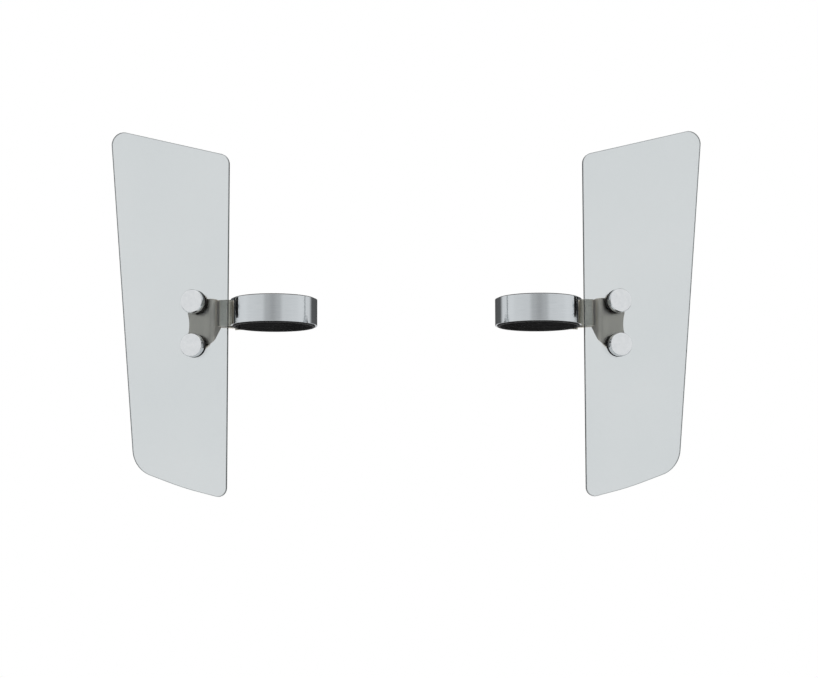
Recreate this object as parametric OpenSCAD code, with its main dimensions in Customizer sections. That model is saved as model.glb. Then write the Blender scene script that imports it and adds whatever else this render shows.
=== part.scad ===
// Pair of fork-mounted lower wind deflector screens.
// Frame: +Z up along the fork legs, +X to the right of someone facing the screens,
// +Y rearward. The origin is midway between the two fork legs, at clamp mid-height.
// Each half is drawn in its own deflector frame, x outboard in the plane of the
// screen, y rearward and square to it, with the fork leg's axis at x = y = 0.
// The half is then swept back about the fork leg and set at half the fork spacing.

/* [Forks] */
// Distance between the two fork leg axes
fork_spacing = 254; // [220:1:300]
// Diameter of the fork leg cover that the clamp grips
fork_d = 74; // [60:1:76]
// Sweep of each screen, outer edge rearward, in degrees
sweep = 16; // [0:1:25]

/* [Clamp] */
// Height of the clamp strap
strap_h = 25.4; // [20:0.2:30]
// Thickness of the clamp strap
strap_t = 2; // [1.5:0.1:2.2]
// Thickness of the rubber liner
liner_t = 2.5; // [2:0.1:3]
// How far the liner stands proud of the strap, above and below
liner_lip = 1; // [0:0.1:2]
// Width of the slit in the liner
liner_slit = 2; // [1:0.5:4]
// Angle on the ring where the front strand turns outboard
front_angle = -20; // [-24:1:-16]
// Angle on the ring where the rear strand turns outboard
rear_angle = 32; // [28:1:36]
// Gap between the two clamp ears
ear_gap = 2.3; // [1:0.1:3]

/* [Pivot bolt] */
// Distance of the pivot bolt behind the fork axis
bolt_y = 36; // [34:1:42]
// Shank diameter of the pivot bolt
bolt_d = 6; // [5:0.5:6]
// Running clearance of the flange on the bolt, on the radius
pivot_gap = 0.05; // [0.01:0.01:0.1]
// Gap between the flange and the washers beside it
side_gap = 0.1; // [0.05:0.05:0.3]
// Thickness of the nylon washer between the flange and the clamp ear
pivot_washer_t = 0.5; // [0.3:0.1:1.5]
// Radius of the round ends of the ears and the flange
ear_r = 9; // [8.5:0.1:12]

/* [Screen] */
// Thickness of the clear screen
panel_t = 3; // [2:0.5:4]
// Front face of the screen, ahead of the fork axis
panel_front = 28.7; // [28:0.1:32]
// Inner edge of the screen, outboard of the fork axis
panel_in = 36.5; // [34:0.5:40]
// Height of the inner top corner
top_in_z = 150.4; // [120:0.1:180]
// Outboard position of the outer top corner
top_out_x = 160.8; // [140:0.1:180]
// Height of the outer top corner
top_out_z = 184.1; // [160:0.1:220]
// Outboard position of the outer bottom corner
low_out_x = 131.3; // [110:0.1:150]
// Height of the outer bottom corner
low_out_z = -149.5; // [-180:0.1:-120]
// Height of the inner bottom corner
low_in_z = -179.4; // [-220:0.1:-160]

/* [Fixings] */
// Outboard position of both fixing holes
hole_x = 69.3; // [68:0.1:72]
// Height of the upper fixing hole
hole_hi = 9.2; // [7:0.1:10]
// Height of the lower fixing hole
hole_lo = -32.8; // [-34:0.1:-31]
// Diameter of the chrome caps
cap_d = 22.8; // [18:0.2:24]
// Thickness of the chrome caps
cap_t = 6.5; // [4:0.5:9]
// Diameter of the front rubber washers
front_washer_d = 22.8; // [20:0.2:26]
// Thickness of the front rubber washers
front_washer_t = 5; // [2:0.5:6]
// Thickness of the rear rubber washers
rear_washer_t = 3; // [2:0.5:3]
// Thread diameter of the cap studs
stud_d = 6; // [5:0.5:6]

/* [Bracket] */
// Thickness of the bracket sheet
bracket_t = 3; // [2:0.5:3.5]
// Inboard face of the bracket flange, outboard of the fork axis
flange_x = 52.6; // [51:0.1:54]
// Inside radius of the bracket bend
bend_r = 2; // [1:0.5:3]
// Top edge of the bracket
bracket_top = 13; // [12:0.1:14]
// Radius of the lobes round the fixing holes
lobe_r = 10; // [9:0.5:11]
// Outboard position of the waist between the lobes
waist_x = 77.7; // [76:0.1:79]
// Radius of the waist
waist_r = 36; // [30:1:60]

/* [Hidden] */
$fn = 96;
half_h = strap_h / 2;
liner_ri = fork_d / 2;
liner_ro = liner_ri + liner_t;
strap_ri = liner_ro + 0.05;
strap_rm = strap_ri + strap_t / 2;
panel_y0 = -panel_front;
panel_y1 = panel_y0 + panel_t;
plate_y0 = panel_y1 + rear_washer_t;
plate_y1 = plate_y0 + bracket_t;
bend_ro = bend_r + bracket_t;
bend_x = flange_x + bend_ro;
bend_y = plate_y0 + bend_ro;
flange_x1 = flange_x + bracket_t;
washer_t = 1.2;
ear_a = flange_x - side_gap - pivot_washer_t - strap_t / 2;
ear_b = ear_a - strap_t - ear_gap;
bolt_r = bolt_d / 2;
stud_r = stud_d / 2;
nut_r = 5.77;
holes = [hole_hi, hole_lo];
diag = 0.79;
flange_low = -26;

// ---- placing helpers ----

// Puts a half drawn in the deflector frame onto the right or left fork leg
module on_right() { translate([fork_spacing / 2, 0, 0]) rotate([0, 0, sweep]) children(); }
module on_left() { mirror([1, 0, 0]) on_right() children(); }
// Extrudes an x-z outline forward from y = back by t
module slab_y(back, t) { translate([0, back, 0]) rotate([90, 0, 0]) linear_extrude(t) children(); }
// Extrudes a y-z outline outboard from x = from by t
module slab_x(from, t) { translate([from, 0, 0]) rotate([90, 0, 90]) linear_extrude(t) children(); }
// A round bar along y or x
module rod_y(x, z, y0, y1, r) { translate([x, y1, z]) rotate([90, 0, 0]) cylinder(h = y1 - y0, r = r); }
module rod_x(y, z, x0, x1, r) { translate([x0, y, z]) rotate([0, 90, 0]) cylinder(h = x1 - x0, r = r); }
// A hexagon along y or x
module hex_y(x, z, y0, y1) { translate([x, y1, z]) rotate([90, 0, 0]) cylinder(h = y1 - y0, r = nut_r, $fn = 6); }
module hex_x(y, z, x0, x1) { translate([x0, y, z]) rotate([0, 90, 0]) cylinder(h = x1 - x0, r = nut_r, $fn = 6); }

// ---- outline helpers ----

function unit(v) = v / norm(v);
// Arc of radius r that rounds corner b between a and c, as n + 1 points
function round_corner(a, b, c, r, n) = let(
        u = unit(a - b), v = unit(c - b),
        half = acos(u * v) / 2,
        mid = b + unit(u + v) * r / sin(half),
        p = b + u * r / tan(half) - mid,
        q = b + v * r / tan(half) - mid,
        a0 = atan2(p[1], p[0]),
        turn = atan2(p[0] * q[1] - p[1] * q[0], p * q))
    [for (i = [0:n]) mid + r * [cos(a0 + turn * i / n), sin(a0 + turn * i / n)]];
// A closed outline whose corners are [x, y, radius, steps]
function rounded(c) = let(m = len(c)) [for (i = [0:m - 1])
    each round_corner([c[(i + m - 1) % m][0], c[(i + m - 1) % m][1]], [c[i][0], c[i][1]],
        [c[(i + 1) % m][0], c[(i + 1) % m][1]], c[i][2], c[i][3])];
// Part of a flat ring between two angles less than 180 degrees apart
module arc_strip(mid, r0, r1, a0, a1) translate(mid) intersection() {
    difference() { circle(r1); circle(r0); }
    polygon([[0, 0], for (k = [0:4]) let(a = a0 + (a1 - a0) * k / 4) 2 * r1 * [cos(a), sin(a)]]);
}

// ---- the screen ----

screen_outline = rounded([
    [panel_in, top_in_z, 11, 8],
    [top_out_x, top_out_z, 12, 10],
    [low_out_x, low_out_z, 28, 14],
    [80, (low_out_z + low_in_z) / 2 - 3.8, 300, 6],
    [panel_in, low_in_z, 8.5, 8]]);

module screen() color([0.72, 0.74, 0.76, 0.5]) slab_y(panel_y1, panel_t) difference() {
    polygon(screen_outline);
    for (z = holes) translate([hole_x, z]) circle(stud_r + 2);
}

// ---- the bracket: a plate behind the screen and a flange running rearward ----

// Height of the bracket's slanting lower edge on the plate
function low_edge(x) = -27.7 - diag * (x - 52.1);

module bracket() color([0.55, 0.52, 0.48]) {
    difference() {
        union() {
            // plate with a lobe round each hole and a waist between them
            slab_y(plate_y1, bracket_t) difference() {
                union() {
                    polygon([[bend_x, bracket_top], [hole_x, bracket_top], [hole_x, hole_hi],
                        [hole_x + lobe_r, hole_hi], [hole_x + lobe_r, hole_lo],
                        [hole_x, hole_lo - lobe_r * 0.6], [hole_x - lobe_r * 0.6, low_edge(hole_x - lobe_r * 0.6)],
                        [bend_x, low_edge(bend_x)]]);
                    for (z = holes) translate([hole_x, z]) circle(lobe_r);
                }
                translate([waist_x + waist_r, (hole_hi + hole_lo) / 2]) circle(waist_r);
                polygon([[bend_x - 1, low_edge(bend_x - 1)], [hole_x, low_edge(hole_x)],
                    [hole_x, -80], [bend_x - 1, -80]]);
            }
            // bend
            difference() {
                translate([0, 0, low_edge(bend_x)]) linear_extrude(bracket_top - low_edge(bend_x))
                    arc_strip([bend_x, bend_y], bend_r, bend_ro, 180, 270);
                translate([bend_x, bend_y, 0]) rotate([0, 0, -45]) slab_y(20, 40)
                    polygon([[-8, flange_low + 4], [-2.5, flange_low - 0.6], [2.5, low_edge(bend_x) + 0.6], [2.5, -50], [-8, -50]]);
            }
            // flange, with a round end about the pivot bolt
            slab_x(flange_x, bracket_t) union() {
                polygon([[bend_y, bracket_top], [-2, bracket_top], [bolt_y, ear_r],
                    [bolt_y, -ear_r], [-2, -half_h], [bend_y, flange_low]]);
                translate([bolt_y, 0]) circle(ear_r);
            }
        }
        for (z = holes) rod_y(hole_x, z, plate_y0 - 1, plate_y1 + 1, stud_r + 0.2);
        rod_x(bolt_y, 0, flange_x - 1, flange_x1 + 1, bolt_r + pivot_gap);
    }
}

// ---- the clamp: one strap round the fork leg, with both ends turned into ears ----

// Where each strand leaves the ring, and the middle of the bend that turns it outboard
front_p = strap_rm * [cos(front_angle), sin(front_angle)];
front_r = 2.5;
front_c = front_p + front_r * [cos(front_angle), sin(front_angle)];
rear_p = strap_rm * [cos(rear_angle), sin(rear_angle)];
rear_r = 4;
rear_c = rear_p + rear_r * [cos(rear_angle), sin(rear_angle)];
ear_bend = 1.3;
tab_y = front_c[1] + front_r;
lug_y = rear_c[1] - rear_r;

module ear(x, y0) slab_x(x - strap_t / 2, strap_t) difference() {
    union() {
        polygon([[y0, -half_h], [bolt_y, -ear_r], [bolt_y, ear_r], [y0, half_h]]);
        translate([bolt_y, 0]) circle(ear_r);
    }
    translate([bolt_y, 0]) circle(bolt_r + 0.2);
}

module fork_clamp() color([0.78, 0.79, 0.81]) {
    translate([0, 0, -half_h]) linear_extrude(strap_h) {
        // ring, open between the two strands
        difference() {
            circle(strap_ri + strap_t);
            circle(strap_ri);
            polygon([[0, 0], 80 * [cos(front_angle), sin(front_angle)], [90, 0],
                80 * [cos(rear_angle), sin(rear_angle)]]);
        }
        // front strand: outboard, then rearward along the bracket flange
        arc_strip(front_c, front_r - strap_t / 2, front_r + strap_t / 2, 89, 183 + front_angle);
        translate([front_c[0], tab_y - strap_t / 2]) square([ear_a - ear_bend - front_c[0] + 0.02, strap_t]);
        arc_strip([ear_a - ear_bend, tab_y + ear_bend], ear_bend - strap_t / 2, ear_bend + strap_t / 2, -90, 0);
        // rear strand: outboard, then rearward beside the front one
        arc_strip(rear_c, rear_r - strap_t / 2, rear_r + strap_t / 2, 178 + rear_angle, 271);
        translate([rear_c[0], lug_y - strap_t / 2]) square([ear_b - ear_bend - rear_c[0] + 0.02, strap_t]);
        arc_strip([ear_b - ear_bend, lug_y + ear_bend], ear_bend - strap_t / 2, ear_bend + strap_t / 2, -90, 0);
    }
    ear(ear_a, tab_y + ear_bend - 0.02);
    ear(ear_b, lug_y + ear_bend - 0.02);
}

module clamp_liner() color([0.08, 0.08, 0.08])
    translate([0, 0, -half_h - liner_lip]) linear_extrude(strap_h + 2 * liner_lip) difference() {
        circle(liner_ro);
        circle(liner_ri);
        rotate(6) translate([0, -liner_slit / 2]) square([80, liner_slit]);
    }

// ---- fixings through the screen ----

cap_back = panel_y0 - front_washer_t;
module cap_screws() color([0.88, 0.89, 0.9]) for (z = holes)
    translate([hole_x, cap_back, z]) rotate([90, 0, 0]) union() {
        rotate_extrude() polygon([[0, 0], [cap_d / 2 - 0.5, 0], [cap_d / 2, 0.5], [cap_d / 2, cap_t - 1.1],
            [cap_d / 2 - 0.4, cap_t - 0.4], [cap_d / 2 - 1.4, cap_t], [0, cap_t]]);
        translate([0, 0, -(plate_y1 - cap_back) - 8.2]) cylinder(h = plate_y1 - cap_back + 8.2, r = stud_r);
    }

module ring_y(z, y0, y1, ro, ri) difference() {
    rod_y(hole_x, z, y0, y1, ro);
    rod_y(hole_x, z, y0 - 1, y1 + 1, ri);
}
module ring_x(x0, x1, ro, ri) difference() {
    rod_x(bolt_y, 0, x0, x1, ro);
    rod_x(bolt_y, 0, x0 - 1, x1 + 1, ri);
}

module front_rubber_washers() color([0.05, 0.05, 0.05])
    for (z = holes) ring_y(z, cap_back, panel_y0, front_washer_d / 2, stud_r + 0.05);
module hole_bushes() color([0.06, 0.06, 0.06])
    for (z = holes) ring_y(z, panel_y0, panel_y1, stud_r + 2, stud_r + 0.05);
module rear_rubber_washers() color([0.05, 0.05, 0.05])
    for (z = holes) ring_y(z, panel_y1, plate_y0, 9.5, stud_r + 0.05);
module backing_washers() color([0.7, 0.71, 0.72])
    for (z = holes) ring_y(z, plate_y1, plate_y1 + washer_t, 7, stud_r + 0.2);
module cap_lock_nuts() color([0.7, 0.71, 0.72]) for (z = holes) difference() {
    union() {
        hex_y(hole_x, z, plate_y1 + washer_t, plate_y1 + washer_t + 4.4);
        rod_y(hole_x, z, plate_y1 + washer_t + 4.4, plate_y1 + washer_t + 6, 4.6);
    }
    rod_y(hole_x, z, plate_y1, plate_y1 + 12, stud_r);
}

// ---- pivot bolt through the bracket flange and both clamp ears ----

head_x = flange_x1 + side_gap + washer_t;
nut_x = ear_b - strap_t / 2 - washer_t;
module clamp_bolt() color([0.7, 0.71, 0.72]) union() {
    hex_x(bolt_y, 0, head_x, head_x + 4);
    rod_x(bolt_y, 0, nut_x - 7.5, head_x, bolt_r);
}
module bolt_head_washer() color([0.72, 0.73, 0.74])
    ring_x(flange_x1 + side_gap, head_x, 7, bolt_r + 0.05);
module pivot_washer() color([0.12, 0.12, 0.12])
    ring_x(flange_x - side_gap - pivot_washer_t, flange_x - side_gap, 8, bolt_r + 0.05);
module nut_washer() color([0.72, 0.73, 0.74])
    ring_x(nut_x, nut_x + washer_t, 7, bolt_r + 0.05);
module clamp_lock_nut() color([0.7, 0.71, 0.72]) difference() {
    union() {
        hex_x(bolt_y, 0, nut_x - 4.4, nut_x);
        rod_x(bolt_y, 0, nut_x - 6, nut_x - 4.4, 4.6);
    }
    rod_x(bolt_y, 0, nut_x - 10, nut_x + 1, bolt_r);
}

on_right() screen();  // right_screen
on_right() bracket();  // right_bracket
on_right() fork_clamp();  // right_fork_clamp
on_right() clamp_liner();  // right_clamp_liner
on_right() cap_screws();  // right_cap_screws
on_right() front_rubber_washers();  // right_front_rubber_washers
on_right() hole_bushes();  // right_hole_bushes
on_right() rear_rubber_washers();  // right_rear_rubber_washers
on_right() backing_washers();  // right_backing_washers
on_right() cap_lock_nuts();  // right_cap_lock_nuts
on_right() clamp_bolt();  // right_clamp_bolt
on_right() bolt_head_washer();  // right_bolt_head_washer
on_right() pivot_washer();  // right_pivot_washer
on_right() nut_washer();  // right_nut_washer
on_right() clamp_lock_nut();  // right_clamp_lock_nut
on_left() screen();  // left_screen
on_left() bracket();  // left_bracket
on_left() fork_clamp();  // left_fork_clamp
on_left() clamp_liner();  // left_clamp_liner
on_left() cap_screws();  // left_cap_screws
on_left() front_rubber_washers();  // left_front_rubber_washers
on_left() hole_bushes();  // left_hole_bushes
on_left() rear_rubber_washers();  // left_rear_rubber_washers
on_left() backing_washers();  // left_backing_washers
on_left() cap_lock_nuts();  // left_cap_lock_nuts
on_left() clamp_bolt();  // left_clamp_bolt
on_left() bolt_head_washer();  // left_bolt_head_washer
on_left() pivot_washer();  // left_pivot_washer
on_left() nut_washer();  // left_nut_washer
on_left() clamp_lock_nut();  // left_clamp_lock_nut
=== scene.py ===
import math

import bmesh
import bpy
from mathutils import Matrix, Vector
from mathutils.geometry import tessellate_polygon


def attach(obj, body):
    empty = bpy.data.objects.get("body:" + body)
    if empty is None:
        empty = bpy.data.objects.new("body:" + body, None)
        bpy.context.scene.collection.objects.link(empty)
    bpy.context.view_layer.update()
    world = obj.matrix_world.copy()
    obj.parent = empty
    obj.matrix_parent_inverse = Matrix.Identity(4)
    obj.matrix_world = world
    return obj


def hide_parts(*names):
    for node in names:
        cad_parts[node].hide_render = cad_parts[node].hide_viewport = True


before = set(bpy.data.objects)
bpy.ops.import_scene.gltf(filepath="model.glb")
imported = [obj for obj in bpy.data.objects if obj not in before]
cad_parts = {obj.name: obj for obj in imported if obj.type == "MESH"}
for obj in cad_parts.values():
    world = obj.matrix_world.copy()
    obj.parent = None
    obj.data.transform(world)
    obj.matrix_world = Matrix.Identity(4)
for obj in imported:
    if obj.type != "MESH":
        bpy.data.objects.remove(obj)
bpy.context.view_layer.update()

scene = bpy.context.scene

# ---------------------------------------------------------------------------
# Dimensions of the CAD frame, in millimetres. Each half is laid out in its
# deflector frame: x outboard in the plane of the screen, y rearward, z up,
# with the fork leg's axis at x = y = 0.
# ---------------------------------------------------------------------------
HALF = 127.0
SWEEP = math.radians(16.0)
CS, SN = math.cos(SWEEP), math.sin(SWEEP)
STRAP_H, STRAP_T = 25.4, 2.0
LINER_RI, LINER_RO = 37.0, 39.5
RM = 39.55 + STRAP_T / 2
BOLT_Y, BOLT_R, EAR_R = 36.0, 3.0, 9.0
PANEL_T = 3.0
PANEL_Y0 = -28.7
PANEL_Y1 = PANEL_Y0 + PANEL_T
PLATE_Y0 = PANEL_Y1 + 3.0
PLATE_Y1 = PLATE_Y0 + 3.0
RUBBER_T = 5.0
CAP_BACK = PANEL_Y0 - RUBBER_T
CAP_T, CAP_R = 6.5, 11.4
HOLE_X, HOLES = 69.3, (9.2, -32.8)
FLANGE_X, FLANGE_X1 = 52.6, 55.6
SIDE_GAP, WASHER_T, PIVOT_T = 0.1, 1.2, 0.5
BRACKET_TOP, FLANGE_LOW = 13.0, -26.0
EAR_A = FLANGE_X - SIDE_GAP - PIVOT_T - STRAP_T / 2
EAR_B = EAR_A - STRAP_T - 2.3
HEAD_X = FLANGE_X1 + SIDE_GAP + WASHER_T
NUT_X = EAR_B - STRAP_T / 2 - WASHER_T


def row_point(side, x, y, z):
    """A point of the deflector frame, in millimetres, as a point of the row frame, in metres."""
    return Vector((side * (HALF + CS * x - SN * y), SN * x + CS * y, z)) / 1000.0


# ---------------------------------------------------------------------------
# Flat outlines
# ---------------------------------------------------------------------------
def arc(cx, cy, r, a0, a1, n):
    return [
        (cx + r * math.cos(math.radians(a0 + (a1 - a0) * i / n)),
         cy + r * math.sin(math.radians(a0 + (a1 - a0) * i / n)))
        for i in range(n + 1)
    ]


def rounded(corners):
    """A closed outline whose corners are (x, y, radius, steps)."""
    out, m = [], len(corners)
    for i in range(m):
        a, b, c = (Vector(corners[(i + k - 1) % m][:2]) for k in range(3))
        r, n = corners[i][2], corners[i][3]
        u, v = (a - b).normalized(), (c - b).normalized()
        half = math.acos(max(-1, min(1, u.dot(v)))) / 2
        mid = b + (u + v).normalized() * r / math.sin(half)
        p, q = b + u * r / math.tan(half) - mid, b + v * r / math.tan(half) - mid
        a0 = math.atan2(p.y, p.x)
        turn = math.atan2(p.x * q.y - p.y * q.x, p.dot(q))
        out += [(mid.x + r * math.cos(a0 + turn * k / n), mid.y + r * math.sin(a0 + turn * k / n)) for k in range(n + 1)]
    return out


def clean(pts, least=1e-4):
    out = []
    for p in pts:
        if not out or (Vector(p) - Vector(out[-1])).length > least:
            out.append(p)
    if (Vector(out[0]) - Vector(out[-1])).length < least:
        out.pop()
    return out


def area(pts):
    return sum(pts[i - 1][0] * pts[i][1] - pts[i][0] * pts[i - 1][1] for i in range(len(pts))) / 2


def ccw(pts):
    pts = clean(pts)
    return pts if area(pts) > 0 else pts[::-1]


def offset(pts, d):
    """A counter-clockwise outline moved inward by d."""
    out, n = [], len(pts)
    for i in range(n):
        a, b, c = Vector(pts[i - 1]), Vector(pts[i]), Vector(pts[(i + 1) % n])
        e0, e1 = (b - a).normalized(), (c - b).normalized()
        n0, n1 = Vector((-e0.y, e0.x)), Vector((-e1.y, e1.x))
        m = n0 + n1
        k = max(m.length_squared / 2, 0.35)
        out.append(tuple(b + m * (d / k)))
    return out


# ---------------------------------------------------------------------------
# Mesh builders. Each returns a bmesh in flat or turning coordinates.
# ---------------------------------------------------------------------------
def sheet(outer, holes, t, r, seg=3, edge_mat=0):
    """A flat plate over an outline, in (u, v, w), with every edge rounded by r. It makes no UVs; add_uv later takes
    them from u and v.
    """
    bm = bmesh.new()
    loops = [(ccw(outer), 1)] + [(ccw(h), -1) for h in holes]
    layers = []
    for k in range(seg + 1):
        a = math.pi / 2 * k / seg
        layers.append((r * (1 - math.sin(a)), -t / 2 + r * (1 - math.cos(a))))
    layers += [(d, -w) for d, w in reversed(layers)]
    rings = []
    for pts, sign in loops:
        rings.append([[bm.verts.new((p[0], p[1], w)) for p in (offset(pts, sign * d) if d > 1e-9 else pts)] for d, w in layers])
    for ring in rings:
        n = len(ring[0])
        for a, b in zip(ring, ring[1:]):
            for i in range(n):
                j = (i + 1) % n
                f = bm.faces.new((a[i], a[j], b[j], b[i]))
                f.material_index = edge_mat
    for layer in (0, -1):
        polys = [[v.co for v in ring[layer]] for ring in rings]
        flat = [v for ring in rings for v in ring[layer]]
        for tri in tessellate_polygon(polys):
            try:
                bm.faces.new([flat[i] for i in tri])
            except ValueError:
                pass
    bmesh.ops.recalc_face_normals(bm, faces=bm.faces)
    return bm


def cut_at(bm, places, axis=0):
    for s in places:
        co = [0, 0, 0]; co[axis] = s
        no = [0, 0, 0]; no[axis] = 1
        bmesh.ops.bisect_plane(bm, geom=bm.verts[:] + bm.edges[:] + bm.faces[:], dist=1e-5, plane_co=co, plane_no=no)


class Path:
    """A line of straight runs and bends in the x-y plane."""

    def __init__(self, start, heading, runs):
        self.parts, s = [], 0.0
        p, h = Vector(start), math.radians(heading)
        for run in runs:
            if run[0] == "line":
                self.parts.append((s, run[1], p.copy(), h, None, 0))
                p = p + Vector((math.cos(h), math.sin(h))) * run[1]
                s += run[1]
            else:
                _, r, turn = run
                t = math.radians(turn)
                sgn = 1 if t > 0 else -1
                c = p + Vector((-math.sin(h), math.cos(h))) * (sgn * r)
                self.parts.append((s, r * abs(t), c, h, r, sgn))
                h += t
                p = c - Vector((-math.sin(h), math.cos(h))) * (sgn * r)
                s += r * abs(t)
        self.length = s

    def at(self, s):
        part = self.parts[0]
        for q in self.parts:
            if s >= q[0] - 1e-9:
                part = q
        s0, _, p, h, r, sgn = part
        if r is None:
            d = Vector((math.cos(h), math.sin(h)))
            return p + d * (s - s0), Vector((-d.y, d.x))
        h = h + sgn * (s - s0) / r
        n = Vector((-math.sin(h), math.cos(h)))
        return p - n * (sgn * r), n

    def bends(self, step):
        out = []
        for s0, length, _, _, r, _ in self.parts:
            if r is not None:
                n = max(2, int(round(length / r / math.radians(step))))
                out += [s0 + length * i / n for i in range(n + 1)]
        return sorted(out)


def add_uv(bm, scale=0.001):
    uv = bm.loops.layers.uv.new("flat")
    for f in bm.faces:
        for l in f.loops:
            l[uv].uv = (l.vert.co.x * scale, l.vert.co.y * scale)


def bend_sheet(bm, path):
    """Maps (u, v, w) to (x, y, z) of the deflector frame along a path."""
    for v in bm.verts:
        p, n = path.at(v.co.x)
        z, w = v.co.y, v.co.z
        q = p + n * w
        v.co = (q.x, q.y, z)
    return bm


def turned(profile, n=96, radius=None):
    """A closed (r, h) outline turned about the h axis. A point with r = 0 is a pole. radius(theta, k, r) may change r."""
    bm = bmesh.new()
    cols = []
    for k, (r, h) in enumerate(profile):
        if r < 1e-9:
            cols.append([bm.verts.new((0, 0, h))])
        else:
            ring = []
            for i in range(n):
                a = 2 * math.pi * i / n
                rr, hh = (r, h) if radius is None else radius(a, k, r, h)
                ring.append(bm.verts.new((rr * math.cos(a), rr * math.sin(a), hh)))
            cols.append(ring)
    open_ends = len(cols[0]) == 1 or len(cols[-1]) == 1
    pairs = list(zip(cols, cols[1:])) + ([] if open_ends else [(cols[-1], cols[0])])
    for a, b in pairs:
        for i in range(n):
            j = (i + 1) % n
            if len(a) == 1 and len(b) == 1:
                continue
            if len(a) == 1:
                bm.faces.new((a[0], b[j], b[i]))
            elif len(b) == 1:
                bm.faces.new((a[i], a[j], b[0]))
            else:
                bm.faces.new((a[i], a[j], b[j], b[i]))
    uv = bm.loops.layers.uv.new("flat")
    for f in bm.faces:
        for l in f.loops:
            c = l.vert.co
            l[uv].uv = (math.atan2(c.y, c.x) * 0.005, c.z * 0.001)
    bmesh.ops.recalc_face_normals(bm, faces=bm.faces)
    return bm


def round_rect(r0, r1, h0, h1, rad, n=4):
    """Outline of a washer's section with rounded corners."""
    out = []
    for cx, cy, a in ((r1 - rad, h0 + rad, -90), (r1 - rad, h1 - rad, 0), (r0 + rad, h1 - rad, 90), (r0 + rad, h0 + rad, 180)):
        out += arc(cx, cy, rad, a, a + 90, n)
    return clean(out)


def threaded_rod(h0, h1, r, thread_from, pitch=1.0, n=40):
    """A rod from h0 to h1 with a rolled thread from thread_from to a chamfered tip at h1."""
    depth = 0.38
    steps = 10
    rows = [(h0, "plain"), (h0 + 0.01, "plain"), (thread_from, "plain")]
    count = int(round((h1 - thread_from) / pitch * steps))
    for i in range(1, count + 1):
        rows.append((thread_from + (h1 - thread_from) * i / count, "thread"))
    bm = bmesh.new()
    rings = []
    for h, kind in rows:
        ring = []
        for i in range(n):
            a = 2 * math.pi * i / n
            rr = r - 0.02
            if kind == "thread":
                ph = ((h - thread_from) / pitch - i / n) % 1.0
                tri = abs(ph - 0.5) * 2
                tri = min(1.0, max(0.0, (tri - 0.1) / 0.78))
                fade = min(1.0, (h - thread_from) / (1.2 * pitch))
                rr -= depth * (1 - tri) * fade
                rr = min(rr, r - 0.02 - max(0.0, h - (h1 - 0.8)) * 0.8)
            ring.append(bm.verts.new((rr * math.cos(a), rr * math.sin(a), h)))
        rings.append(ring)
    for a, b in zip(rings, rings[1:]):
        for i in range(n):
            j = (i + 1) % n
            bm.faces.new((a[i], a[j], b[j], b[i]))
    bm.faces.new(rings[0][::-1])
    bm.faces.new(rings[-1])
    uv = bm.loops.layers.uv.new("flat")
    for f in bm.faces:
        for l in f.loops:
            c = l.vert.co
            l[uv].uv = (math.atan2(c.y, c.x) * 0.003, c.z * 0.001)
    bmesh.ops.recalc_face_normals(bm, faces=bm.faces)
    return bm


def hex_radius(a, flats):
    b = (a + math.pi / 6) % (math.pi / 3) - math.pi / 6
    return flats / 2 / math.cos(b)


def hex_body(flats, h0, h1, bore, n=96, both=True, dish=False):
    """A hexagon with turned 30 degree chamfers at one or both ends, and a bore or a closed face."""
    corner = flats / 2 / math.cos(math.pi / 6)
    face = flats / 2 * 0.955
    t = math.tan(math.radians(30))
    profile = [(bore, h0 + 0.35), (bore + 0.35, h0), (face, h0), (corner, h0), (corner, h1), (face, h1), (bore + 0.35, h1), (bore, h1 - 0.35)]
    if bore <= 0:
        if dish:
            profile = [(0, h0), (face, h0), (corner, h0), (corner, h1), (face, h1), (face - 0.6, h1), (face - 1.0, h1 - 0.25), (0, h1 - 0.25)]
        else:
            profile = [(0, h0), (face, h0), (corner, h0), (corner, h1), (face, h1), (0, h1)]

    def shape(a, k, r, h):
        if abs(r - corner) < 1e-9:
            rr = hex_radius(a, flats) - 0.03
            d = max(0.0, rr - face) * t + 0.02
            if h == h0:
                return rr, h0 + (d if both else 0.02)
            return rr, h1 - d
        return r, h

    return turned(profile, n, shape)


def merge(*bms):
    """Several closed shells as one bmesh. A pair (bmesh, index) sets its material."""
    out = bmesh.new()
    uv = out.loops.layers.uv.new("flat")
    for item in bms:
        bm, mat = item if isinstance(item, tuple) else (item, None)
        src = bm.loops.layers.uv.active
        table = {v: out.verts.new(v.co) for v in bm.verts}
        for f in bm.faces:
            g = out.faces.new([table[v] for v in f.verts])
            g.material_index = f.material_index if mat is None else mat
            g.smooth = f.smooth
            if src is not None:
                for l0, l1 in zip(f.loops, g.loops):
                    l1[uv].uv = l0[src].uv
        bm.free()
    return out


def along_y(bm, x, z, y0, back=True):
    """Stands a turned shape's axis along y, with h = 0 at y0, rearward or forward."""
    s = 1 if back else -1
    for v in bm.verts:
        a, b, h = v.co
        v.co = (x + a, y0 + s * h, z + b)
    return bm


def along_x(bm, y, z, x0, outboard=True):
    s = 1 if outboard else -1
    for v in bm.verts:
        a, b, h = v.co
        v.co = (x0 + s * h, y + a, z + b)
    return bm


def copy_bm(bm):
    return bm.copy()


def outward(bm):
    """Turns the faces of every closed shell in a mesh to face out."""
    bmesh.ops.recalc_face_normals(bm, faces=bm.faces)
    left = set(bm.faces)
    while left:
        shell, todo = [], [left.pop()]
        while todo:
            f = todo.pop()
            shell.append(f)
            for e in f.edges:
                for g in e.link_faces:
                    if g in left:
                        left.remove(g)
                        todo.append(g)
        volume = 0.0
        for f in shell:
            a = f.verts[0].co
            for u, v in zip(f.verts[1:], f.verts[2:]):
                volume += a.dot(u.co.cross(v.co))
        if volume < 0:
            bmesh.ops.reverse_faces(bm, faces=shell)


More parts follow.
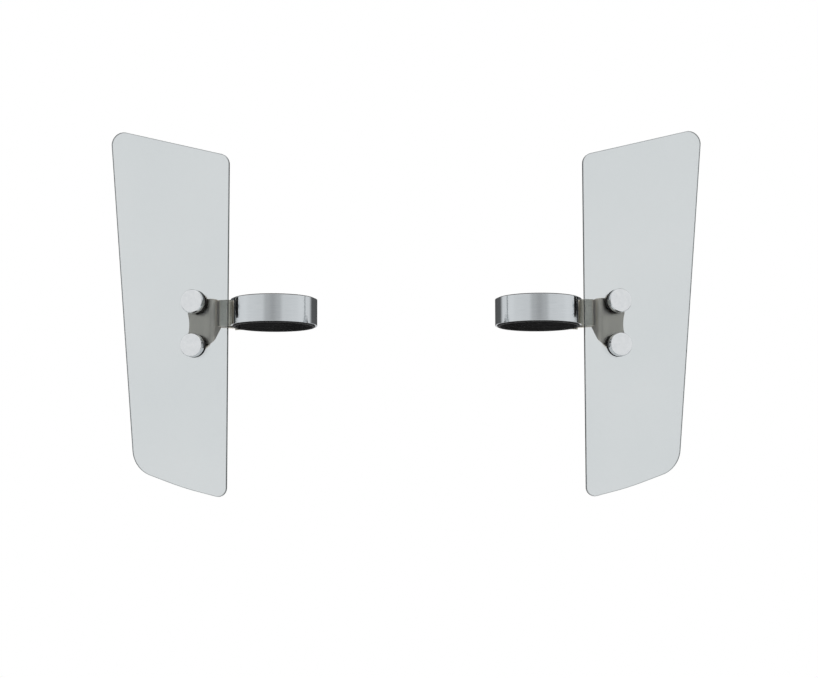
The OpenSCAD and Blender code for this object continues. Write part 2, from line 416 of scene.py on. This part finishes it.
def piece(name, bm, side, body, nodes, mats, smooth_deg=35, weighted=True):
    """Makes the object for one side out of a bmesh in the deflector frame."""
    mesh = bpy.data.meshes.new(name)
    work = bm.copy()
    for v in work.verts:
        v.co = row_point(side, *v.co)
    outward(work)
    for f in work.faces:
        f.smooth = True
    work.to_mesh(mesh)
    work.free()
    mesh.set_sharp_from_angle(angle=math.radians(smooth_deg))
    ob = bpy.data.objects.new(name, mesh)
    scene.collection.objects.link(ob)
    for m in mats:
        mesh.materials.append(m)
    if weighted:
        w = ob.modifiers.new("even_normals", "WEIGHTED_NORMAL")
        w.keep_sharp = True
        w.weight = 60
    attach(ob, body)
    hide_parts(*nodes)
    return ob


# ---------------------------------------------------------------------------
# Materials
# ---------------------------------------------------------------------------
class Mat:
    def __init__(self, name):
        self.m = bpy.data.materials.new(name)
        self.m.use_nodes = True
        self.nt = self.m.node_tree
        self.p = next(n for n in self.nt.nodes if n.type == "BSDF_PRINCIPLED")

    def node(self, kind, **kw):
        n = self.nt.nodes.new(kind)
        for k, v in kw.items():
            setattr(n, k, v)
        return n

    def link(self, a, b):
        self.nt.links.new(a, b)

    def coords(self, kind="Object", scale=(1, 1, 1)):
        t = self.node("ShaderNodeTexCoord")
        if kind == "flat":
            t = self.node("ShaderNodeUVMap", uv_map="flat")
            src = t.outputs[0]
        else:
            src = t.outputs[kind]
        mp = self.node("ShaderNodeMapping")
        mp.inputs["Scale"].default_value = scale
        self.link(src, mp.inputs["Vector"])
        return mp.outputs[0]

    def noise(self, vec, scale, detail=3, rough=0.5, dist=0.0):
        n = self.node("ShaderNodeTexNoise")
        n.inputs["Scale"].default_value = scale
        n.inputs["Detail"].default_value = detail
        n.inputs["Roughness"].default_value = rough
        n.inputs["Distortion"].default_value = dist
        self.link(vec, n.inputs["Vector"])
        return n.outputs["Fac"]

    def ramp(self, fac, stops):
        n = self.node("ShaderNodeValToRGB")
        el = n.color_ramp.elements
        while len(el) > 1:
            el.remove(el[-1])
        el[0].position, el[0].color = stops[0][0], (*stops[0][1], 1)
        for pos, col in stops[1:]:
            e = el.new(pos)
            e.color = (*col, 1)
        self.link(fac, n.inputs[0])
        return n.outputs[0]

    def span(self, fac, a, b):
        n = self.node("ShaderNodeMapRange")
        n.inputs["To Min"].default_value = a
        n.inputs["To Max"].default_value = b
        n.inputs["From Min"].default_value = 0.3
        n.inputs["From Max"].default_value = 0.7
        self.link(fac, n.inputs["Value"])
        return n.outputs[0]

    def mix(self, fac, a, b):
        n = self.node("ShaderNodeMix", data_type="RGBA")
        for s, v in (("Factor", fac), ("A", a), ("B", b)):
            sock = next(i for i in n.inputs if i.name == s and (i.type == "RGBA" or s == "Factor" and i.type == "VALUE"))
            if isinstance(v, (tuple, list)):
                sock.default_value = (*v, 1) if len(v) == 3 else v
            elif isinstance(v, (int, float)):
                sock.default_value = v
            else:
                self.link(v, sock)
        return next(o for o in n.outputs if o.type == "RGBA")

    def bump(self, height, strength, distance):
        n = self.node("ShaderNodeBump")
        n.inputs["Strength"].default_value = strength
        n.inputs["Distance"].default_value = distance
        self.link(height, n.inputs["Height"])
        self.link(n.outputs[0], self.p.inputs["Normal"])
        return n

    def set(self, **kw):
        for k, v in kw.items():
            self.p.inputs[k.replace("_", " ")].default_value = v


def make_screen():
    m = Mat("smoke_polycarbonate")
    v = m.coords("Object")
    cloud = m.noise(v, 9.0, 2, 0.5)
    m.link(m.ramp(cloud, [(0.3, (0.619, 0.653, 0.664)), (0.7, (0.643, 0.673, 0.682))]), m.p.inputs["Base Color"])
    fine = m.noise(m.coords("Object", (1, 1, 14)), 60.0, 4, 0.6)
    m.link(m.span(fine, 0.0, 0.012), m.p.inputs["Roughness"])
    m.bump(m.noise(v, 14.0, 1, 0.4), 0.10, 0.0005)
    m.set(IOR=1.585, Transmission_Weight=1.0, Specular_IOR_Level=0.5)
    return m.m


def make_screen_edge():
    m = Mat("polycarbonate_edge")
    v = m.coords("Object")
    m.link(m.ramp(m.noise(v, 120.0, 3, 0.6), [(0.3, (0.20, 0.215, 0.22)), (0.7, (0.29, 0.305, 0.31))]), m.p.inputs["Base Color"])
    m.link(m.span(m.noise(v, 400.0, 2, 0.5), 0.10, 0.22), m.p.inputs["Roughness"])
    m.bump(m.noise(m.coords("Object", (1, 1, 0.15)), 900.0, 2, 0.5), 0.12, 0.0001)
    m.set(IOR=1.585, Transmission_Weight=0.9)
    return m.m


def make_polished():
    m = Mat("polished_stainless")
    v = m.coords("flat", (1.0, 22.0, 1.0))
    streak = m.noise(v, 70.0, 4, 0.6)
    patch = m.noise(m.coords("Object"), 26.0, 2, 0.5)
    tone = m.ramp(streak, [(0.25, (0.640, 0.668, 0.688)), (0.75, (0.720, 0.745, 0.760))])
    m.link(m.mix(m.span(patch, 0.0, 0.35), tone, (0.650, 0.675, 0.685)), m.p.inputs["Base Color"])
    m.link(m.span(streak, 0.045, 0.10), m.p.inputs["Roughness"])
    wave = m.noise(m.coords("Object", (1, 1, 0.35)), 38.0, 1, 0.4)
    add = m.node("ShaderNodeMath", operation="MULTIPLY_ADD")
    m.link(wave, add.inputs[0])
    add.inputs[1].default_value = 6.0
    m.link(streak, add.inputs[2])
    m.bump(add.outputs[0], 0.18, 0.00012)
    m.set(Metallic=1.0, Anisotropic=0.25)
    return m.m


def make_satin_shaded():
    m = Mat("satin_stainless_painted_shade")
    v = m.coords("flat", (1.0, 16.0, 1.0))
    fine = m.noise(v, 240.0, 5, 0.65)
    # painted shade: this copy of the stainless is darker and warmer than the polished ring, for the strands and ears
    # that sit behind the screen; the patches vary at random
    tone = m.ramp(fine, [(0.28, (0.62, 0.60, 0.52)), (0.5, (0.70, 0.68, 0.60)), (0.74, (0.78, 0.76, 0.68))])
    m.link(m.mix(m.span(m.noise(m.coords("Object"), 60.0, 3, 0.55), 0.0, 0.4), tone, (0.43, 0.42, 0.365)), m.p.inputs["Base Color"])
    m.link(m.span(fine, 0.24, 0.36), m.p.inputs["Roughness"])
    m.bump(fine, 0.2, 0.00006)
    m.set(Metallic=1.0, Anisotropic=0.3)
    return m.m


def make_brushed():
    m = Mat("brushed_stainless")
    v = m.coords("flat", (14.0, 1.0, 1.0))
    fine = m.noise(v, 260.0, 5, 0.65)
    broad = m.noise(m.coords("flat", (6.0, 0.6, 1.0)), 45.0, 2, 0.5)
    # painted reflection: the warm taupe base colour stands in for warm surroundings reflected in the bracket; the broad
    # darker patches vary at random
    tone = m.ramp(fine, [(0.28, (0.79, 0.715, 0.61)), (0.5, (0.86, 0.785, 0.68)), (0.74, (0.92, 0.855, 0.76))])
    m.link(m.mix(m.span(broad, 0.0, 0.3), tone, (0.60, 0.54, 0.475)), m.p.inputs["Base Color"])
    m.link(m.span(fine, 0.30, 0.46), m.p.inputs["Roughness"])
    m.bump(fine, 0.22, 0.00006)
    m.set(Metallic=1.0, Anisotropic=0.4)
    return m.m


def make_chrome():
    m = Mat("bright_chrome")
    v = m.coords("Object")
    haze = m.noise(v, 260.0, 4, 0.6)
    m.link(m.ramp(haze, [(0.3, (0.84, 0.855, 0.865)), (0.7, (0.91, 0.92, 0.925))]), m.p.inputs["Base Color"])
    m.link(m.span(haze, 0.03, 0.075), m.p.inputs["Roughness"])
    m.bump(m.noise(v, 90.0, 1, 0.4), 0.06, 0.0001)
    m.set(Metallic=1.0)
    return m.m


def make_fastener():
    m = Mat("plain_steel")
    v = m.coords("Object")
    n = m.noise(v, 420.0, 4, 0.6)
    m.link(m.ramp(n, [(0.3, (0.50, 0.505, 0.50)), (0.7, (0.66, 0.665, 0.66))]), m.p.inputs["Base Color"])
    m.link(m.span(n, 0.22, 0.38), m.p.inputs["Roughness"])
    m.bump(n, 0.12, 0.00005)
    m.set(Metallic=1.0)
    return m.m


def make_rubber():
    m = Mat("black_rubber")
    v = m.coords("Object")
    grain = m.noise(v, 900.0, 4, 0.6)
    dust = m.noise(v, 70.0, 3, 0.55)
    tone = m.ramp(grain, [(0.3, (0.004, 0.004, 0.0045)), (0.7, (0.010, 0.010, 0.0105))])
    m.link(m.mix(m.span(dust, 0.0, 0.30), tone, (0.020, 0.0195, 0.019)), m.p.inputs["Base Color"])
    m.link(m.span(grain, 0.50, 0.70), m.p.inputs["Roughness"])
    m.bump(grain, 0.35, 0.00008)
    m.set(Specular_IOR_Level=0.25)
    return m.m


def make_nylon():
    m = Mat("black_nylon")
    v = m.coords("Object")
    grain = m.noise(v, 500.0, 3, 0.5)
    m.link(m.ramp(grain, [(0.3, (0.018, 0.018, 0.02)), (0.7, (0.035, 0.035, 0.038))]), m.p.inputs["Base Color"])
    m.link(m.span(grain, 0.35, 0.5), m.p.inputs["Roughness"])
    m.bump(grain, 0.15, 0.00005)
    return m.m


SCREEN, EDGE, POLISHED, BRUSHED, SATIN_SHADED = make_screen(), make_screen_edge(), make_polished(), make_brushed(), make_satin_shaded()
CHROME, STEEL, RUBBER, NYLON = make_chrome(), make_fastener(), make_rubber(), make_nylon()

# ---------------------------------------------------------------------------
# Shapes of one half
# ---------------------------------------------------------------------------
shapes = {}

# the screen
screen_outline = rounded([
    (36.5, 150.4, 11, 20), (160.8, 184.1, 12, 22), (131.3, -149.5, 28, 28),
    (80, (-149.5 - 179.4) / 2 - 3.8, 300, 14), (36.5, -179.4, 8.5, 18)])
hole_loops = [arc(HOLE_X, z, 5.0, 0, 360 - 7.5, 47) for z in HOLES]
bm = sheet(screen_outline, hole_loops, PANEL_T, 0.55, 4, edge_mat=1)
add_uv(bm)
bend_sheet(bm, Path((0, (PANEL_Y0 + PANEL_Y1) / 2), 0, [("line", 400)]))
shapes["screen"] = bm

# the bracket
LOBE_R = 10.0
PLATE_S = BOLT_Y + EAR_R + 17.7 + 3.5 * math.pi / 2


def on_plate(x):
    return PLATE_S + (x - FLANGE_X - 5.0)


def low_edge(x):
    return -27.7 - 0.79 * (x - 52.1)


hx = on_plate(HOLE_X)
s_bolt = EAR_R
foot_d = abs((low_edge(HOLE_X) - HOLES[1])) / math.hypot(1, 0.79)
half_chord = math.sqrt(LOBE_R ** 2 - foot_d ** 2)
dirx, dirz = 1 / math.hypot(1, 0.79), -0.79 / math.hypot(1, 0.79)
foot = (HOLE_X + dirz * foot_d, HOLES[1] - dirx * foot_d)
exit_pt = (foot[0] + dirx * half_chord, foot[1] + dirz * half_chord)
exit_a = math.degrees(math.atan2(exit_pt[1] - HOLES[1], exit_pt[0] - HOLE_X))
top_a = 180 - math.degrees(math.asin((BRACKET_TOP - HOLES[0]) / LOBE_R))
waist_c, waist_r = 77.7 + 36.0, 36.0
wd = math.sqrt(waist_r ** 2 - (waist_c - HOLE_X - LOBE_R) ** 2)
wa = math.degrees(math.asin(wd / waist_r))
mid_z = sum(HOLES) / 2
bracket_outline = (
    arc(s_bolt, 0, EAR_R, 90, 270, 36)
    + [(s_bolt + BOLT_Y + 2.0, -12.7), (PLATE_S - 3.5 * math.pi / 2, FLANGE_LOW), (PLATE_S, low_edge(FLANGE_X + 5)), (on_plate(exit_pt[0]), exit_pt[1])]
    + arc(hx, HOLES[1], LOBE_R, exit_a, 0, 24)
    + arc(on_plate(waist_c), mid_z, waist_r, 180 + wa, 180 - wa, 20)
    + arc(hx, HOLES[0], LOBE_R, 0, top_a, 40)
    + [(PLATE_S, BRACKET_TOP), (s_bolt + BOLT_Y + 2, BRACKET_TOP)])
b_holes = [arc(s_bolt, 0, 3.05, 0, 352.5, 47)] + [arc(hx, z, 3.2, 0, 352.5, 47) for z in HOLES]
bm = sheet(bracket_outline, b_holes, 3.0, 0.4, 3)
b_path = Path(((FLANGE_X + FLANGE_X1) / 2, BOLT_Y + EAR_R), -90, [("line", BOLT_Y + EAR_R + 17.7), ("arc", 3.5, 90), ("line", 60)])
cut_at(bm, b_path.bends(6))
add_uv(bm)
bend_sheet(bm, b_path)
shapes["bracket"] = bm

# the clamp strap: both ears, both strands and the ring are one strip
FR, RR, EB = 2.5, 4.0, 1.3
FA, RA = -20.0, 32.0
fc = Vector((math.cos(math.radians(FA)), math.sin(math.radians(FA)))) * (RM + FR)
rc = Vector((math.cos(math.radians(RA)), math.sin(math.radians(RA)))) * (RM + RR)
tab_y, lug_y = fc.y + FR, rc.y - RR
s_path = Path((EAR_A, BOLT_Y + EAR_R), -90, [
    ("line", BOLT_Y + EAR_R - tab_y - EB),
    ("arc", EB, -90),
    ("line", EAR_A - EB - fc.x),
    ("arc", FR, 90 + FA),
    ("arc", RM, -(360 + FA - RA)),
    ("arc", RR, 90 - RA),
    ("line", EAR_B - EB - rc.x),
    ("arc", EB, 90),
    ("line", BOLT_Y + EAR_R - lug_y - EB)])
L = s_path.length
u0, u1 = BOLT_Y + EAR_R - tab_y - EB, L - (BOLT_Y + EAR_R - lug_y - EB)
strap_outline = (
    arc(EAR_R, 0, EAR_R, 90, 270, 36) + [(u0, -STRAP_H / 2), (u1, -STRAP_H / 2)]
    + arc(L - EAR_R, 0, EAR_R, -90, 90, 36) + [(u1, STRAP_H / 2), (u0, STRAP_H / 2)])
bm = sheet(strap_outline, [arc(s, 0, 3.2, 0, 352.5, 47) for s in (EAR_R, L - EAR_R)], STRAP_T, 0.3, 3)
cut_at(bm, s_path.bends(3))
# the ring is polished; the strands and ears beyond it are left satin, which is rougher, and their darker, warmer base
# colour is painted shade for where they sit behind the screen
f0 = s_path.parts[3][0] + s_path.parts[3][1] * 0.5
f1 = s_path.parts[5][0] + s_path.parts[5][1] * 0.5
for f in bm.faces:
    if not f0 < f.calc_center_median().x < f1:
        f.material_index = 1
add_uv(bm)
bend_sheet(bm, s_path)
shapes["fork_clamp"] = bm

# the liner: a split rubber strip with a bead along both edges and fine grip ribs inside
LIP = STRAP_H / 2 + 1.0
slit = math.degrees(math.asin(1.0 / 38.0))
steps = 180
section = []
section += arc(LINER_RO - 0.5, LIP - 0.5, 0.5, 90, 0, 4)
section += arc(LINER_RO - 0.5, -LIP + 0.5, 0.5, 0, -90, 4)
section += arc(LINER_RI + 0.5, -LIP + 0.5, 0.5, -90, -180, 4)
ribs = 9
for i in range(ribs):
    z0 = -LIP + 2.2 + i * (2 * LIP - 4.4) / (ribs - 1)
    section += [(LINER_RI, z0 - 0.55), (LINER_RI + 0.3, z0 - 0.3), (LINER_RI + 0.3, z0 + 0.3), (LINER_RI, z0 + 0.55)]
section += arc(LINER_RI + 0.5, LIP - 0.5, 0.5, 180, 90, 4)
section = clean(section)
bm = bmesh.new()
a0, a1 = 6 + slit, 366 - slit
rings = []
for k in range(steps + 1):
    a = math.radians(a0 + (a1 - a0) * k / steps)
    rings.append([bm.verts.new((r * math.cos(a), r * math.sin(a), z)) for r, z in section])
for a, b in zip(rings, rings[1:]):
    for i in range(len(section)):
        j = (i + 1) % len(section)
        bm.faces.new((a[i], a[j], b[j], b[i]))
bm.faces.new(rings[0])
bm.faces.new(rings[-1][::-1])
uv = bm.loops.layers.uv.new("flat")
for f in bm.faces:
    for l in f.loops:
        l[uv].uv = (math.atan2(l.vert.co.y, l.vert.co.x) * 0.038, l.vert.co.z * 0.001)
bmesh.ops.recalc_face_normals(bm, faces=bm.faces)
shapes["clamp_liner"] = bm

# chrome caps on threaded studs
caps = []
for z in HOLES:
    rim = (
        [(0, 0), (CAP_R - 0.7, 0)] + arc(CAP_R - 0.4, 0.4, 0.4, -90, 0, 5)
        + [(CAP_R, 2.4), (CAP_R, CAP_T - 2.2)] + arc(CAP_R - 0.5, CAP_T - 2.2, 0.5, 0, 20, 4)
        + arc(CAP_R - 1.05, CAP_T - 0.4, 0.4, 20, 90, 8)
        + [(CAP_R - 1.3, CAP_T - 0.003), (CAP_R - 3.2, CAP_T), (4.0, CAP_T), (0, CAP_T)])
    cap = along_y(turned(clean(rim), 128), HOLE_X, z, CAP_BACK, back=False)
    rod = along_y(threaded_rod(-0.6, PLATE_Y1 + 8.2 - CAP_BACK, BOLT_R, PLATE_Y1 - CAP_BACK - 2.0), HOLE_X, z, CAP_BACK)
    caps += [(cap, 0), (rod, 1)]
shapes["cap_screws"] = merge(*caps)


def washers_y(r0, r1, y0, y1, rad):
    return merge(*[along_y(turned(round_rect(r0, r1, 0, y1 - y0, rad), 96), HOLE_X, z, y0) for z in HOLES])


# rubber washers swell a little between their faces
def swollen(r0, r1, h, bulge, n=10):
    out = [(r0, h * 0.9), (r0, h * 0.1), (r0 + 0.25, 0), (r1 - 0.5, 0)]
    for i in range(n + 1):
        t = i / n
        out.append((r1 - 0.32 + bulge * math.sin(math.pi * t), 0.08 + (h - 0.16) * t))
    out += [(r1 - 0.5, h), (r0 + 0.25, h)]
    return out


shapes["front_rubber_washers"] = merge(*[along_y(turned(swollen(3.05, CAP_R, RUBBER_T, 0.32), 112), HOLE_X, z, CAP_BACK) for z in HOLES])
shapes["hole_bushes"] = washers_y(3.05, 5.0, PANEL_Y0, PANEL_Y1, 0.3)
shapes["rear_rubber_washers"] = merge(*[along_y(turned(swollen(3.05, 9.5, 3.0, 0.32), 96), HOLE_X, z, PANEL_Y1) for z in HOLES])
shapes["backing_washers"] = washers_y(3.2, 7.0, PLATE_Y1, PLATE_Y1 + WASHER_T, 0.22)


def lock_nut():
    """A hex lock nut with a turned collar, h = 0 at its bearing face, and the ring of nylon in the collar."""
    body = hex_body(10.0, 0.0, 4.4, 3.02, both=True)
    collar = turned(clean([(3.75, 4.3), (4.6, 4.3)] + arc(4.2, 5.6, 0.4, 0, 90, 5) + [(3.75, 6.0)]), 96)
    ring = turned(round_rect(3.02, 3.72, 4.42, 5.7, 0.2, 3), 64)
    return (body, 0), (collar, 0), (ring, 1)


nuts = []
for z in HOLES:
    nuts += [(along_y(b, HOLE_X, z, PLATE_Y1 + WASHER_T), m) for b, m in lock_nut()]
shapes["cap_lock_nuts"] = merge(*nuts)

# the pivot bolt and what is on it
head = along_x(hex_body(10.0, 0.0, 4.0, 0, both=False, dish=True), BOLT_Y, 0, HEAD_X)
rod = along_x(threaded_rod(-0.5, HEAD_X - NUT_X + 7.5, BOLT_R, 9.0), BOLT_Y, 0, HEAD_X, outboard=False)
shapes["clamp_bolt"] = merge((head, 0), (rod, 0))
shapes["bolt_head_washer"] = along_x(turned(round_rect(3.05, 7.0, 0, WASHER_T, 0.22), 96), BOLT_Y, 0, FLANGE_X1 + SIDE_GAP)
shapes["pivot_washer"] = along_x(turned(round_rect(3.05, 8.0, 0, PIVOT_T, 0.12), 96), BOLT_Y, 0, FLANGE_X - SIDE_GAP - PIVOT_T)
shapes["nut_washer"] = along_x(turned(round_rect(3.05, 7.0, 0, WASHER_T, 0.22), 96), BOLT_Y, 0, NUT_X)
shapes["clamp_lock_nut"] = merge(*[(along_x(b, BOLT_Y, 0, NUT_X, outboard=False), m) for b, m in lock_nut()])

FINISH = {
    "screen": ([SCREEN, EDGE], "tinted_polycarbonate"),
    "bracket": ([BRUSHED], "brushed_stainless"),
    "fork_clamp": ([POLISHED, SATIN_SHADED], "polished_stainless"),
    "clamp_liner": ([RUBBER], "black_rubber"),
    "cap_screws": ([CHROME, STEEL], "chrome_caps"),
    "front_rubber_washers": ([RUBBER], "black_rubber"),
    "hole_bushes": ([RUBBER], "black_rubber"),
    "rear_rubber_washers": ([RUBBER], "black_rubber"),
    "backing_washers": ([STEEL], "plain_fasteners"),
    "cap_lock_nuts": ([STEEL, NYLON], "plain_fasteners"),
    "clamp_bolt": ([STEEL], "plain_fasteners"),
    "bolt_head_washer": ([STEEL], "plain_fasteners"),
    "pivot_washer": ([NYLON], "black_nylon"),
    "nut_washer": ([STEEL], "plain_fasteners"),
    "clamp_lock_nut": ([STEEL, NYLON], "plain_fasteners"),
}
BODY = {"clamp_liner": "fork_liners"}
for n in ("fork_clamp", "clamp_bolt", "bolt_head_washer", "pivot_washer", "nut_washer", "clamp_lock_nut"):
    BODY[n] = "{}_clamp"
for side, word in ((1, "right"), (-1, "left")):
    for n, bm in shapes.items():
        mats, slot = FINISH[n]
        body = BODY.get(n, "{}_deflector").format(word)
        node = f"{word}_{n}"
        piece(f"{node}_v", bm, side, body, [node], mats)
for bm in shapes.values():
    bm.free()

# ---------------------------------------------------------------------------
# Studio
# ---------------------------------------------------------------------------
scene.view_settings.view_transform = "Standard"
scene.view_settings.look = "None"

world = bpy.data.worlds.new("studio")
scene.world = world
world.use_nodes = True
nt = world.node_tree
for n in list(nt.nodes):
    nt.nodes.remove(n)
out = nt.nodes.new("ShaderNodeOutputWorld")
bg = nt.nodes.new("ShaderNodeBackground")
nt.links.new(bg.outputs[0], out.inputs[0])
tc = nt.nodes.new("ShaderNodeTexCoord")
sep = nt.nodes.new("ShaderNodeSeparateXYZ")
nt.links.new(tc.outputs["Generated"], sep.inputs[0])


def wmath(op, a, b=None, c=None):
    n = nt.nodes.new("ShaderNodeMath")
    n.operation = op
    for i, v in enumerate((a, b, c)):
        if v is None:
            continue
        if isinstance(v, (int, float)):
            n.inputs[i].default_value = v
        else:
            nt.links.new(v, n.inputs[i])
    return n.outputs[0]


# azimuth from the front, positive to the right, -180 to 180 degrees, as 0 to 1
az = wmath("MULTIPLY_ADD", wmath("ARCTAN2", sep.outputs["X"], wmath("MULTIPLY", sep.outputs["Y"], -1.0)), 0.5 / math.pi, 0.5)


def wramp(fac, bands, interpolation="EASE"):
    n = nt.nodes.new("ShaderNodeValToRGB")
    n.color_ramp.interpolation = interpolation
    el = n.color_ramp.elements
    while len(el) > 1:
        el.remove(el[-1])
    el[0].position, el[0].color = bands[0][0], (bands[0][1],) * 3 + (1,)
    for pos, v in bands[1:]:
        el.new(pos).color = (v * 0.985, v, v * 1.012, 1)
    nt.links.new(fac, n.inputs[0])
    return n.outputs[0]


def wrange(src, f0, f1, t0=0.0, t1=1.0):
    n = nt.nodes.new("ShaderNodeMapRange")
    n.interpolation_type = "SMOOTHSTEP"
    for k, v in (("From Min", f0), ("From Max", f1), ("To Min", t0), ("To Max", t1)):
        n.inputs[k].default_value = v
    nt.links.new(src, n.inputs["Value"])
    return n.outputs[0]


def wmix(fac, a, b):
    n = nt.nodes.new("ShaderNodeMix")
    n.data_type = "RGBA"
    fi = next(i for i in n.inputs if i.name == "Factor" and i.type == "VALUE")
    ai = next(i for i in n.inputs if i.name == "A" and i.type == "RGBA")
    bi = next(i for i in n.inputs if i.name == "B" and i.type == "RGBA")
    for s, v in ((fi, fac), (ai, a), (bi, b)):
        if isinstance(v, tuple):
            s.default_value = v
        elif isinstance(v, float):
            s.default_value = v
        else:
            nt.links.new(v, s)
    return next(o for o in n.outputs if o.type == "RGBA")


# plain soft studio light, the same on both sides: two broad soft boxes, dimmer between them, dark behind the set
HALF = [(0, 0.45), (16, 0.54), (30, 0.76), (62, 0.80), (80, 0.86), (110, 0.80), (126, 0.12), (180, 0.08)]
SIDES = [(-a, v) for a, v in reversed(HALF[1:])] + HALF
gloss = wramp(az, [((a + 180) / 360, v) for a, v in SIDES])
gloss = wmix(wrange(sep.outputs["Z"], 0.35, 0.75), gloss, (0.95, 0.95, 0.95, 1))
gloss = wmix(wrange(sep.outputs["Z"], -0.15, -0.6), gloss, (0.42, 0.42, 0.42, 1))
# the backdrop is plain white, seen directly or through a screen; every reflection sees the studio instead
white = (1.0, 1.0, 1.0, 1)
lp = nt.nodes.new("ShaderNodeLightPath")
soft = wmix(lp.outputs["Is Diffuse Ray"], white, (0.75, 0.76, 0.77, 1))
seen = wmix(lp.outputs["Is Glossy Ray"], soft, gloss)
mirrored = wmath("MINIMUM", lp.outputs["Glossy Depth"], 1.0)
nt.links.new(wmix(lp.outputs["Is Transmission Ray"], seen, wmix(mirrored, white, gloss)), bg.inputs[0])


def aim(ob, target):
    d = Vector(target) - ob.location
    ob.rotation_mode = "QUATERNION"
    ob.rotation_quaternion = d.to_track_quat("-Z", "Y")


def lamp(name, where, size, power, target=(0, 0, 0)):
    d = bpy.data.lights.new(name, "AREA")
    d.shape = "RECTANGLE"
    d.size, d.size_y = size
    d.energy = power
    ob = bpy.data.objects.new(name, d)
    scene.collection.objects.link(ob)
    ob.location = where
    aim(ob, target)
    ob.visible_camera = False
    ob.visible_glossy = False
    ob.visible_transmission = False
    return ob


lamp("key", (-1.1, -1.6, 1.7), (1.2, 1.2), 14)
lamp("fill", (1.5, -1.2, 0.9), (1.0, 1.0), 6)


# a pale floor, well below the parts, which hang from the fork legs
me = bpy.data.meshes.new("floor")
bmf = bmesh.new()
bmesh.ops.create_circle(bmf, cap_ends=True, segments=96, radius=12.0)
bmf.to_mesh(me)
bmf.free()
floor = bpy.data.objects.new("floor", me)
scene.collection.objects.link(floor)
floor.location = (0, 0, -1.3)
fm = Mat("pale_floor")
fm.link(fm.ramp(fm.noise(fm.coords("Object"), 2.0, 2, 0.5), [(0.3, (0.86, 0.86, 0.86)), (0.7, (0.90, 0.90, 0.90))]), fm.p.inputs["Base Color"])
fm.set(Roughness=0.9, Specular_IOR_Level=0.1)
me.materials.append(fm.m)

# ---------------------------------------------------------------------------
# Camera
# ---------------------------------------------------------------------------
cam_data = bpy.data.cameras.new("camera")
cam = bpy.data.objects.new("camera", cam_data)
scene.collection.objects.link(cam)
scene.camera = cam
ELEV, YAW, ROLL = math.radians(6.66), math.radians(-0.198), math.radians(-0.088)
fwd = Vector((math.sin(YAW) * math.cos(ELEV), math.cos(YAW) * math.cos(ELEV), math.sin(ELEV)))
right = fwd.cross(Vector((0, 0, 1))).normalized()
upv = right.cross(fwd)
r2 = right * math.cos(ROLL) + upv * math.sin(ROLL)
u2 = upv * math.cos(ROLL) - right * math.sin(ROLL)
rot = Matrix((r2, u2, -fwd)).transposed()
cam.matrix_world = Matrix.Translation((0.0096, -2.0, -0.259)) @ rot.to_4x4()
cam_data.sensor_width = 36.0
cam_data.lens = 2099.0 / 818.0 * 36.0
cam_data.clip_start, cam_data.clip_end = 0.05, 100
